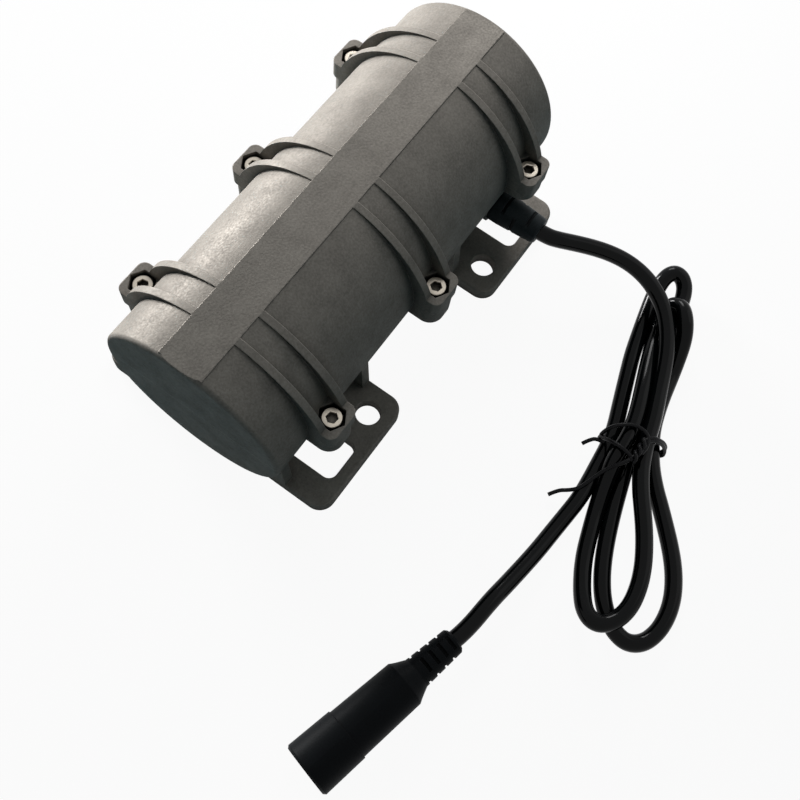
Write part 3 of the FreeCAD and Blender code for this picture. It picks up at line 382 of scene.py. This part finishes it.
class StageOperator(bpy.types.Operator):
    """Sets the floor, the lights, the world and the camera"""
    bl_idname = "vibration_motor.stage"
    bl_label = "Stage"

    def execute(self, context):
        settings = context.scene.motor_stage
        self.camera(context, settings)
        self.floor(context, settings)
        self.lights(context, settings)
        self.world(context, settings)
        context.scene.view_settings.view_transform = "Standard"
        return {"FINISHED"}

    def camera(self, context, settings):
        data = bpy.data.cameras.new("camera")
        data.sensor_width = SENSOR_WIDTH_MM
        data.lens = settings.lens
        data.clip_start = 0.01
        camera = bpy.data.objects.new("camera", data)
        back = CAMERA_RIGHT.cross(CAMERA_UP)
        turn = Matrix((CAMERA_RIGHT, CAMERA_UP, back)).transposed().to_4x4()
        camera.matrix_world = Matrix.Translation(CAMERA_PLACE) @ turn
        context.scene.collection.objects.link(camera)
        context.scene.camera = camera

    def floor(self, context, settings):
        mesh = bpy.data.meshes.new("floor")
        corners = [(x * FLOOR_REACH, y * FLOOR_REACH, 0)
                   for x, y in ((-1, -1), (1, -1), (1, 1), (-1, 1))]
        mesh.from_pydata(corners, [], [(0, 1, 2, 3)])
        floor = bpy.data.objects.new("floor", mesh)
        context.scene.collection.objects.link(floor)
        material = bpy.data.materials.new("pale_studio_floor")
        material.use_nodes = True
        tree = material.node_tree
        tree.nodes.clear()
        seen = seen_rays(tree)
        colour = node(tree, "ShaderNodeMix", {0: seen, 6: tuple(settings.floor_bounce),
                                              7: tuple(settings.floor_colour)}, data_type="RGBA")
        paper = node(tree, "ShaderNodeBsdfDiffuse", {"Color": colour.outputs[2]})
        glow = node(tree, "ShaderNodeEmission", {"Color": tuple(settings.floor_colour)})
        share = node(tree, "ShaderNodeMath", {0: seen, 1: settings.floor_glow},
                     operation="MULTIPLY")
        mix = node(tree, "ShaderNodeMixShader", {0: share.outputs[0], 1: paper.outputs[0],
                                                 2: glow.outputs[0]})
        node(tree, "ShaderNodeOutputMaterial", {"Surface": mix.outputs[0]})
        dress(floor, material)

    def lights(self, context, settings):
        for name, (place, width, power) in LIGHTS.items():
            data = bpy.data.lights.new(name, "AREA")
            data.energy = getattr(settings, power)
            data.size = width
            light = bpy.data.objects.new(name, data)
            light.visible_camera = False
            aim(light, place, LIGHT_TARGET)
            context.scene.collection.objects.link(light)

    def world(self, context, settings):
        """Dim, cool light from all round, which is seen and mirrored as white."""
        world = bpy.data.worlds.new("studio")
        world.use_nodes = True
        tree = world.node_tree
        tree.nodes.clear()
        dim = node(tree, "ShaderNodeBackground", {"Color": SKY_COLOUR,
                                                  "Strength": settings.world_strength})
        white = node(tree, "ShaderNodeBackground", {"Color": WHITE, "Strength": 1.0})
        mix = node(tree, "ShaderNodeMixShader", {0: seen_rays(tree), 1: dim.outputs[0],
                                                 2: white.outputs[0]})
        node(tree, "ShaderNodeOutputWorld", {"Surface": mix.outputs[0]})
        context.scene.world = world


# ---------------------------------------------------------------- cord

# The route of the cord from the rubber bush to the socket, as control points: down to the
# floor, round the five strands and four folds of the hank, and away to the socket.
DROP = [
    (0.0400, -0.0393, 0.0170), (0.0401, -0.0420, 0.0170), (0.0414, -0.0452, 0.0168),
    (0.0437, -0.0490, 0.0160), (0.0461, -0.0535, 0.0152), (0.0481, -0.0579, 0.0143),
    (0.0495, -0.0625, 0.0133), (0.0499, -0.0671, 0.0124), (0.0493, -0.0717, 0.0115),
    (0.0477, -0.0759, 0.0106), (0.0453, -0.0796, 0.0098), (0.0422, -0.0827, 0.0090),
    (0.0385, -0.0853, 0.0084), (0.0344, -0.0875, 0.0078), (0.0297, -0.0894, 0.0074),
    (0.0250, -0.0911, 0.0070), (0.0201, -0.0928, 0.0071), (0.0153, -0.0944, 0.0071),
    (0.0102, -0.0957, 0.0071), (0.0053, -0.0971, 0.0071),
]
NEAR_LOOP_TOP = [
    (0.0005, -0.0991, 0.0071), (-0.0041, -0.1018, 0.0071), (-0.0083, -0.1048, 0.0071),
    (-0.0125, -0.1077, 0.0071), (-0.0169, -0.1103, 0.0071), (-0.0214, -0.1125, 0.0071),
    (-0.0263, -0.1141, 0.0071), (-0.0315, -0.1148, 0.0071), (-0.0357, -0.1141, 0.0071),
    (-0.0386, -0.1125, 0.0071), (-0.0405, -0.1103, 0.0071), (-0.0405, -0.1077, 0.0065),
    (-0.0388, -0.1055, 0.0054), (-0.0362, -0.1037, 0.0043), (-0.0331, -0.1020, 0.0034),
    (-0.0294, -0.1002, 0.0026), (-0.0251, -0.0984, 0.0024), (-0.0200, -0.0968, 0.0024),
    (-0.0149, -0.0953, 0.0024), (-0.0099, -0.0938, 0.0033), (-0.0054, -0.0925, 0.0049),
    (-0.0008, -0.0914, 0.0067),
]
FAR_LOOP_TOP = [
    (0.0052, -0.0913, 0.0071), (0.0109, -0.0907, 0.0070), (0.0165, -0.0892, 0.0071),
    (0.0223, -0.0873, 0.0067), (0.0285, -0.0854, 0.0056), (0.0350, -0.0836, 0.0043),
    (0.0415, -0.0820, 0.0028), (0.0447, -0.0813, 0.0031), (0.0474, -0.0808, 0.0037),
    (0.0493, -0.0809, 0.0051), (0.0502, -0.0817, 0.0071), (0.0497, -0.0836, 0.0085),
    (0.0479, -0.0854, 0.0091), (0.0458, -0.0871, 0.0087), (0.0437, -0.0887, 0.0072),
    (0.0411, -0.0900, 0.0056), (0.0369, -0.0912, 0.0040), (0.0322, -0.0924, 0.0021),
    (0.0262, -0.0933, 0.0024), (0.0208, -0.0944, 0.0024), (0.0152, -0.0960, 0.0024),
]
NEAR_LOOP_FLOOR = [
    (0.0105, -0.0983, 0.0024), (0.0058, -0.1011, 0.0024), (0.0013, -0.1048, 0.0024),
    (-0.0024, -0.1086, 0.0024), (-0.0062, -0.1123, 0.0024), (-0.0098, -0.1157, 0.0024),
    (-0.0136, -0.1189, 0.0024), (-0.0177, -0.1216, 0.0024), (-0.0222, -0.1237, 0.0024),
    (-0.0271, -0.1248, 0.0024), (-0.0322, -0.1247, 0.0024), (-0.0367, -0.1230, 0.0024),
    (-0.0391, -0.1195, 0.0024), (-0.0385, -0.1153, 0.0024), (-0.0360, -0.1116, 0.0024),
    (-0.0328, -0.1085, 0.0024), (-0.0287, -0.1058, 0.0024), (-0.0243, -0.1036, 0.0024),
    (-0.0196, -0.1017, 0.0024), (-0.0147, -0.1000, 0.0024), (-0.0095, -0.0984, 0.0024),
    (-0.0042, -0.0969, 0.0024), (0.0011, -0.0954, 0.0024),
]
FAR_LOOP_FLOOR = [
    (0.0066, -0.0938, 0.0024), (0.0119, -0.0922, 0.0024), (0.0174, -0.0910, 0.0024),
    (0.0229, -0.0899, 0.0024), (0.0285, -0.0888, 0.0024), (0.0342, -0.0876, 0.0024),
    (0.0399, -0.0865, 0.0025), (0.0459, -0.0853, 0.0025), (0.0512, -0.0841, 0.0024),
    (0.0550, -0.0832, 0.0024), (0.0577, -0.0823, 0.0030), (0.0596, -0.0810, 0.0038),
    (0.0608, -0.0791, 0.0046), (0.0606, -0.0769, 0.0051), (0.0592, -0.0756, 0.0046),
    (0.0570, -0.0751, 0.0039), (0.0544, -0.0752, 0.0031), (0.0511, -0.0755, 0.0026),
    (0.0473, -0.0763, 0.0024), (0.0431, -0.0772, 0.0024), (0.0373, -0.0785, 0.0024),
    (0.0315, -0.0799, 0.0024), (0.0259, -0.0817, 0.0024), (0.0204, -0.0835, 0.0024),
    (0.0150, -0.0853, 0.0024), (0.0097, -0.0871, 0.0024),
]
AWAY = [
    (0.0041, -0.0883, 0.0024), (-0.0020, -0.0888, 0.0024), (-0.0077, -0.0893, 0.0024),
    (-0.0139, -0.0896, 0.0024), (-0.0197, -0.0891, 0.0024), (-0.0260, -0.0885, 0.0026),
    (-0.0326, -0.0879, 0.0034), (-0.0391, -0.0870, 0.0044), (-0.0461, -0.0859, 0.0056),
    (-0.0517, -0.0849, 0.0068), (-0.0615, -0.0839, 0.0072), (-0.0651, -0.0828, 0.0072),
]
ROUTE = DROP + NEAR_LOOP_TOP + FAR_LOOP_TOP + NEAR_LOOP_FLOOR + FAR_LOOP_FLOOR + AWAY

# The tie wire over the waist of the hank, as control points.
TIE_WRAPS = [
    [(0.0084, -0.0966, 0.0007), (0.0078, -0.0904, 0.0007), (0.0065, -0.0865, 0.0007),
     (0.0046, -0.0850, 0.0030), (0.0048, -0.0849, 0.0060), (0.0061, -0.0858, 0.0086),
     (0.0079, -0.0878, 0.0101), (0.0097, -0.0905, 0.0102), (0.0101, -0.0931, 0.0102),
     (0.0093, -0.0953, 0.0102), (0.0073, -0.0964, 0.0102), (0.0053, -0.0965, 0.0103),
     (0.0036, -0.0962, 0.0104)],
    [(0.0047, -0.0877, 0.0007), (0.0043, -0.0859, 0.0010), (0.0042, -0.0847, 0.0036),
     (0.0033, -0.0860, 0.0062), (0.0026, -0.0879, 0.0088), (0.0023, -0.0905, 0.0101),
     (0.0019, -0.0928, 0.0103), (0.0014, -0.0946, 0.0104)],
    [(0.0073, -0.0950, 0.0103), (0.0095, -0.0960, 0.0102), (0.0106, -0.0980, 0.0090),
     (0.0121, -0.1001, 0.0062), (0.0128, -0.1017, 0.0028), (0.0121, -0.1016, 0.0007),
     (0.0093, -0.0993, 0.0007), (0.0084, -0.0966, 0.0007)],
    [(0.0093, -0.0993, 0.0007), (0.0108, -0.1023, 0.0007), (0.0117, -0.1020, 0.0026),
     (0.0115, -0.1006, 0.0058), (0.0102, -0.0983, 0.0088), (0.0086, -0.0962, 0.0101),
     (0.0059, -0.0955, 0.0103)],
]
TIE_ENDS = [
    [(0.0019, -0.0949, 0.0105), (-0.0003, -0.0943, 0.0106), (-0.0023, -0.0927, 0.0096),
     (-0.0040, -0.0912, 0.0076), (-0.0065, -0.0900, 0.0062), (-0.0095, -0.0890, 0.0052),
     (-0.0123, -0.0878, 0.0042), (-0.0139, -0.0859, 0.0032), (-0.0152, -0.0837, 0.0024),
     (-0.0176, -0.0822, 0.0016)],
    [(0.0034, -0.0875, 0.0036), (0.0032, -0.0849, 0.0040), (0.0019, -0.0832, 0.0034),
     (0.0000, -0.0821, 0.0024)],
]
KNOT_START = (0.0076, -0.0952, 0.0106)
KNOT_END = (0.0003, -0.0952, 0.0108)
KNOT_REACH = 0.62 * MM
KNOT_TURNS = 1.6


def twisted(start, end, reach, turns, phase, steps=12):
    """Control points of one wire of a twisted pair between two places."""
    run = Vector(end) - Vector(start)
    side = run.cross(Vector((0, 0, 1))).normalized() * reach
    lift = side.cross(run).normalized() * reach
    points = []
    for step in range(steps + 1):
        turn = phase + 2 * math.pi * turns * step / steps
        place = Vector(start) + run * step / steps
        points.append(place + side * math.cos(turn) + lift * math.sin(turn))
    return points


def smooth_curve(name, strands, diameter):
    """Round wires, one for each strand of control points. The bevel is 1 m and each point's
    radius is the wire's own, so that the curve's bounds are the wire's."""
    data = bpy.data.curves.new(name, "CURVE")
    data.dimensions = "3D"
    data.resolution_u = 8
    data.bevel_depth = 1.0
    data.bevel_resolution = 5
    data.use_fill_caps = True
    for points in strands:
        spline = data.splines.new("NURBS")
        spline.points.add(len(points) - 1)
        for knot, place in zip(spline.points, points):
            knot.co = (*place, 1.0)
            knot.radius = diameter / 2
        spline.order_u = 3
        spline.use_endpoint_u = True
    obj = bpy.data.objects.new(name, data)
    bpy.context.scene.collection.objects.link(obj)
    return obj


def curve_length(obj):
    """Length of a curve object's own line."""
    depth = obj.data.bevel_depth
    obj.data.bevel_depth = 0
    line = bpy.data.meshes.new_from_object(obj)
    length = sum((line.vertices[e.vertices[0]].co - line.vertices[e.vertices[1]].co).length
                 for e in line.edges)
    obj.data.bevel_depth = depth
    bpy.data.meshes.remove(line)
    return length


class CordOperator(bpy.types.Operator):
    """Lays the supply cord in its tied hank, with the tie and the socket on it"""
    bl_idname = "vibration_motor.cord"
    bl_label = "Cord"

    def execute(self, context):
        settings = context.scene.motor_cord
        cable = smooth_curve("supply_cord", [ROUTE], settings.diameter)
        cable.data.materials.append(FINISHES["cable_jacket"])
        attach(cable, "housing")
        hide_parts("cable_lead", "cable_hank", "cable_tail")
        tie = self.tie(settings)
        ends = [NODES[name] for name in CORD_END_PIECES]
        for name, end in zip(CORD_END_PIECES, ends):
            dress(end, FINISHES[SLOTS[name]])
        curve_length(cable)
        return {"FINISHED"}

    def tie(self, settings):
        """The tie wire: two wraps round the waist, twisted together on top, and loose ends."""
        pair = [twisted(KNOT_START, KNOT_END, KNOT_REACH, KNOT_TURNS, phase)
                for phase in (0.0, math.pi)]
        wires = smooth_curve("tie_wires", TIE_WRAPS + TIE_ENDS + pair, settings.tie_wire)
        mesh = bpy.data.meshes.new_from_object(wires)
        mesh.name = "cable_tie_wire"
        bpy.data.objects.remove(wires)
        return place_piece("cable_tie_wire", mesh, FINISHES["tie_plastic"], "housing",
                           "tie_plastic", "cable_tie")


# ---------------------------------------------------------------- housing


class HousingOperator(bpy.types.Operator):
    """Gives the two castings soft edges and their blasted finish"""
    bl_idname = "vibration_motor.housing"
    bl_label = "Housing"

    def execute(self, context):
        for name in HOUSING_PIECES:
            dress(NODES[name], FINISHES["cast_housing"])
        return {"FINISHED"}


# ---------------------------------------------------------------- screws


# One M3 socket head cap screw, as the radius and level of each ring in millimetres: from the end
# of the shank to the top of the head, and then down the chamfered six-sided socket.
SCREW_RINGS = [(1.5, -9.0), (1.5, -3.0), (2.75, -3.0), (2.75, -0.3), (2.62, -0.12), (2.45, 0.0)]
SOCKET_RINGS = [(1.64, 0.0), (1.443, -0.25), (1.443, -1.9)]
ROUND_SIDES = 40
SOCKET_SIDES = 6
ROWS = 2
SCREWS_IN_ROW = 3
LARGEST_TURN = 1.05           # radians, about a sixth of a turn, when a socket looks the same


def ring(work, radius, level, sides):
    """Corners on a circle round the Z axis."""
    turns = [2 * math.pi * step / sides for step in range(sides)]
    return [work.verts.new((radius * MM * math.cos(turn), radius * MM * math.sin(turn),
                            level * MM)) for turn in turns]


def screw_mesh():
    """One socket head cap screw, its head's top on z = 0."""
    work = bmesh.new()
    outside = [ring(work, radius, level, ROUND_SIDES) for radius, level in SCREW_RINGS]
    inside = [ring(work, radius, level, SOCKET_SIDES) for radius, level in SOCKET_RINGS]
    for low, high in [*zip(outside, outside[1:]), *zip(inside, inside[1:])]:
        for at in range(len(low)):
            work.faces.new((low[at - 1], low[at], high[at], high[at - 1]))
    work.faces.new(outside[0])
    work.faces.new(inside[-1])
    rim = [work.edges.get((edge[at - 1], edge[at]))
           for edge in (outside[-1], inside[0]) for at in range(len(edge))]
    bmesh.ops.triangle_fill(work, edges=rim, use_beauty=True)
    bmesh.ops.recalc_face_normals(work, faces=work.faces)
    mesh = bpy.data.meshes.new("cap_screw")
    work.to_mesh(mesh)
    work.free()
    return mesh


class ScrewsOperator(bpy.types.Operator):
    """Repeats one cap screw at the six bosses"""
    bl_idname = "vibration_motor.screws"
    bl_label = "Screws"

    def execute(self, context):
        settings = context.scene.motor_screws
        obj = bpy.data.objects.new("cap_screws", screw_mesh())
        context.scene.collection.objects.link(obj)
        tree = self.tree()
        modifier = obj.modifiers.new("rows", "NODES")
        modifier.node_group = tree
        sizes = {"Length": (SCREWS_IN_ROW - 1) * settings.pitch, "Span": settings.span,
                 "Height": settings.head_top, "Finish": FINISHES["bright_screws"]}
        for item in tree.interface.items_tree:
            if item.name in sizes:
                modifier[item.identifier] = sizes[item.name]
        evaluated = obj.evaluated_get(context.evaluated_depsgraph_get())
        mesh = bpy.data.meshes.new_from_object(evaluated)
        if len(mesh.polygons) < ROWS * SCREWS_IN_ROW * len(obj.data.polygons):
            raise RuntimeError("not all of the cap screws were made")
        bpy.data.objects.remove(obj)
        mesh.name = "cap_screws"
        place_piece("cap_screws", mesh, FINISHES["bright_screws"], "housing", "bright_screws",
                    "shell_screws")
        return {"FINISHED"}

    def tree(self):
        """Two rows of screws on a grid, each turned at random, with inputs for its sizes."""
        tree = bpy.data.node_groups.new("screw_rows", "GeometryNodeTree")
        socket = tree.interface.new_socket
        socket("Screw", in_out="INPUT", socket_type="NodeSocketGeometry")
        for name in ("Length", "Span", "Height"):
            socket(name, in_out="INPUT", socket_type="NodeSocketFloat")
        socket("Finish", in_out="INPUT", socket_type="NodeSocketMaterial")
        socket("Screws", in_out="OUTPUT", socket_type="NodeSocketGeometry")
        given = node(tree, "NodeGroupInput").outputs
        grid = node(tree, "GeometryNodeMeshGrid", {"Size X": given["Length"],
                                                   "Size Y": given["Span"],
                                                   "Vertices X": SCREWS_IN_ROW,
                                                   "Vertices Y": ROWS})
        lift = node(tree, "ShaderNodeCombineXYZ", {"Z": given["Height"]})
        raised = node(tree, "GeometryNodeTransform", {"Geometry": grid.outputs["Mesh"],
                                                      "Translation": lift.outputs[0]})
        turn = node(tree, "FunctionNodeRandomValue", {"Seed": 3, 3: LARGEST_TURN},
                    data_type="FLOAT")
        spin = node(tree, "ShaderNodeCombineXYZ", {"Z": turn.outputs[1]})
        copies = node(tree, "GeometryNodeInstanceOnPoints",
                      {"Points": raised.outputs[0], "Instance": given["Screw"],
                       "Rotation": spin.outputs[0]})
        whole = node(tree, "GeometryNodeRealizeInstances", {0: copies.outputs[0]})
        painted = node(tree, "GeometryNodeSetMaterial", {"Geometry": whole.outputs[0],
                                                         "Material": given["Finish"]})
        node(tree, "NodeGroupOutput", {0: painted.outputs[0]})
        return tree


# ---------------------------------------------------------------- inner pieces


class InnerPiecesOperator(bpy.types.Operator):
    """Gives every piece inside the housing its finish"""
    bl_idname = "vibration_motor.inner_pieces"
    bl_label = "Inner pieces"

    def execute(self, context):
        dressed = (*HOUSING_PIECES, *CORD_END_PIECES)
        for name, obj in NODES.items():
            if name not in dressed and not obj.hide_render:
                dress(obj, FINISHES[SLOTS[name]])
        return {"FINISHED"}


# ---------------------------------------------------------------- panel and start


class MotorPanel(bpy.types.Panel):
    """Lists the pieces of the vibration motor and their sizes"""
    bl_idname = "VIEW3D_PT_vibration_motor"
    bl_label = "Vibration motor"
    bl_space_type = "VIEW_3D"
    bl_region_type = "UI"
    bl_category = "Vibration motor"

    def draw(self, context):
        layout = self.layout
        for operator in OPERATORS:
            layout.operator(operator.bl_idname)
        for name, kind in GROUPS.items():
            box = layout.box()
            for setting in kind.__annotations__:
                box.prop(getattr(context.scene, name), setting)


SLOTS = {item["node"]: item["material_slot"] for item in frame["record"]["subparts"]}
GROUPS = {"motor_stage": StageProperties, "motor_housing": HousingProperties,
          "motor_screws": ScrewProperties, "motor_cord": CordProperties}
OPERATORS = (StageOperator, CordOperator, HousingOperator, ScrewsOperator, InnerPiecesOperator)
FINISHES = {}


def register():
    for name, kind in GROUPS.items():
        bpy.utils.register_class(kind)
        setattr(bpy.types.Scene, name, bpy.props.PointerProperty(type=kind))
    for kind in (*OPERATORS, MotorPanel):
        bpy.utils.register_class(kind)


def unregister():
    for kind in (MotorPanel, *reversed(OPERATORS)):
        bpy.utils.unregister_class(kind)
    for name, kind in GROUPS.items():
        delattr(bpy.types.Scene, name)
        bpy.utils.unregister_class(kind)


def main():
    register()
    FINISHES.update(make_finishes(bpy.context.scene.motor_housing.edge_softness / MM))
    for operator in OPERATORS:
        family, name = operator.bl_idname.split(".")
        getattr(getattr(bpy.ops, family), name)()
    bpy.context.view_layer.update()


if __name__ == "__main__":
    main()
